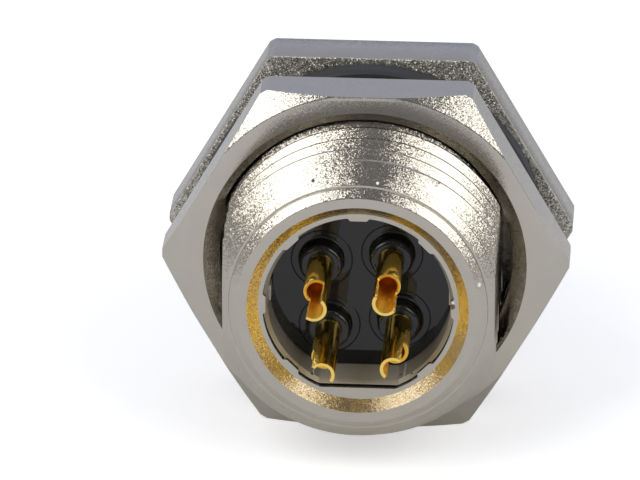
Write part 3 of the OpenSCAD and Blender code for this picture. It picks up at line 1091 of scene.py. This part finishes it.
def floor():
    mesh = bmesh.new()
    half, z = FLOOR_HALF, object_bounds()[0].z
    mesh.faces.new([mesh.verts.new((x, y, z)) for x, y in
                    ((-half, -half), (half, -half), (half, half), (-half, half))])
    obj = new_object("floor", mesh)
    material = bpy.data.materials.new("pale_floor")
    material.use_nodes = True
    nodes, link = material.node_tree.nodes, material.node_tree.links.new
    shader = nodes["Principled BSDF"]
    shader.inputs["Base Color"].default_value = (FLOOR_TONE, FLOOR_TONE, FLOOR_TONE, 1)
    shader.inputs["Roughness"].default_value = 0.9
    shader.inputs["Specular IOR Level"].default_value = 0
    shader.inputs["Emission Color"].default_value = (1, 1, 1, 1)
    path = nodes.new("ShaderNodeLightPath")
    glow = nodes.new("ShaderNodeMath")
    glow.operation = "MULTIPLY"
    glow.inputs[1].default_value = FLOOR_GLOW
    link(path.outputs["Is Camera Ray"], glow.inputs[0])
    link(glow.outputs[0], shader.inputs["Emission Strength"])
    obj.data.materials.append(material)
    obj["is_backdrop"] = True


floor()
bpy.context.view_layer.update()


# %% [markdown]
# ## The room
# Polished metal shows the room round it, so the room is part of its looks. It
# is dim behind the camera, has pale walls at its sides and a pale, slightly
# blue backdrop beyond the object. The camera itself sees it as plain white.

# %% World
ROOM_TONE = (0.20, 0.20, 0.21)
BACKDROP_TONE = (0.50, 0.53, 0.66)
WALL_TONE = (0.38, 0.375, 0.36)
WHITE = (1.0, 1.0, 1.0)


def world():
    room = bpy.data.worlds.new("studio")
    bpy.context.scene.world = room
    room.use_nodes = True
    tree = room.node_tree
    nodes, link = tree.nodes, tree.links.new
    nodes.clear()
    place = nodes.new("ShaderNodeTexCoord")
    axes = nodes.new("ShaderNodeSeparateXYZ")
    link(place.outputs["Generated"], axes.inputs[0])
    ahead = smooth_step(tree, axes.outputs["Y"], -0.35, 0.45)
    tone = mix_colours(tree, ahead, ROOM_TONE, BACKDROP_TONE)
    aside = nodes.new("ShaderNodeMath")
    aside.operation = "ABSOLUTE"
    link(axes.outputs["X"], aside.inputs[0])
    tone = mix_colours(tree, smooth_step(tree, aside.outputs[0], 0.6, 0.8), tone, WALL_TONE)
    path = nodes.new("ShaderNodeLightPath")
    tone = mix_colours(tree, path.outputs["Is Camera Ray"], tone, WHITE)
    background = nodes.new("ShaderNodeBackground")
    link(tone, background.inputs["Color"])
    output = nodes.new("ShaderNodeOutputWorld")
    link(background.outputs[0], output.inputs["Surface"])


world()
print("world:", bpy.context.scene.world.name)


# %% [markdown]
# ## Lamps
# Two large soft lamps stand high on the camera's side, one left and one right.
# The gap between them is the darker stripe down the middle of round metal.

# %% Lamps
LAMP_DISTANCE = 0.30


def softbox(name, direction, lean, width, height, radiance):
    """A rectangular lamp that faces the object, as bright as asked all over.
    lean turns it about its own direction, in degrees."""
    light = bpy.data.lights.new(name, "AREA")
    light.shape = "RECTANGLE"
    light.size, light.size_y = width, height
    light.energy = radiance * width * height * math.pi
    lamp = bpy.data.objects.new(name, light)
    bpy.context.scene.collection.objects.link(lamp)
    towards = Vector(direction).normalized()
    lamp.location = (cad_box[0] + cad_box[1]) / 2 + towards * LAMP_DISTANCE
    lamp.rotation_mode = "QUATERNION"
    turn = Matrix.Rotation(math.radians(lean), 4, "Z").to_quaternion()
    lamp.rotation_quaternion = towards.to_track_quat("Z", "Y") @ turn
    print(name, [round(c, 3) for c in lamp.location])


softbox("lamp_left", (-0.57, -0.49, 0.63), 12, 0.18, 0.30, 2.8)
softbox("lamp_right", (0.66, -0.46, 0.58), -32, 0.20, 0.26, 2.4)


# %% [markdown]
# ## Camera
# A long lens from a little above the axis, on the solder side. It looks at a
# point beside the mouth, which puts the object where it should be in the frame.

# %% Camera
LOOK_AT = Vector((-1.871, -11.2, 3.776)) * MM
AZIMUTH, ELEVATION, ROLL = -0.0639, 0.4049, 0.002
CAMERA_DISTANCE = 0.38
LENS, SENSOR = 432.9, 36


def camera():
    away = Vector((-math.sin(AZIMUTH) * math.cos(ELEVATION),
                   -math.cos(AZIMUTH) * math.cos(ELEVATION), math.sin(ELEVATION)))
    data = bpy.data.cameras.new("camera")
    data.lens = LENS
    data.sensor_width = SENSOR
    data.clip_start, data.clip_end = 0.01, 10
    eye = bpy.data.objects.new("camera", data)
    bpy.context.scene.collection.objects.link(eye)
    eye.location = LOOK_AT + away * CAMERA_DISTANCE
    eye.rotation_mode = "QUATERNION"
    roll = Matrix.Rotation(ROLL, 4, "Z").to_quaternion()
    eye.rotation_quaternion = (-away).to_track_quat("-Z", "Y") @ roll
    bpy.context.scene.camera = eye
    print("camera", [round(c, 3) for c in eye.location])


camera()
bpy.context.scene.view_settings.view_transform = "Standard"


# %% [markdown]
# ## Sizes
# The finer pieces must not change the object's size. The CAD model's box, taken
# before the pieces were built, is printed here in millimetres.

# %% Sizes
print("CAD box", [round(c / MM, 3) for v in cad_box for c in v])
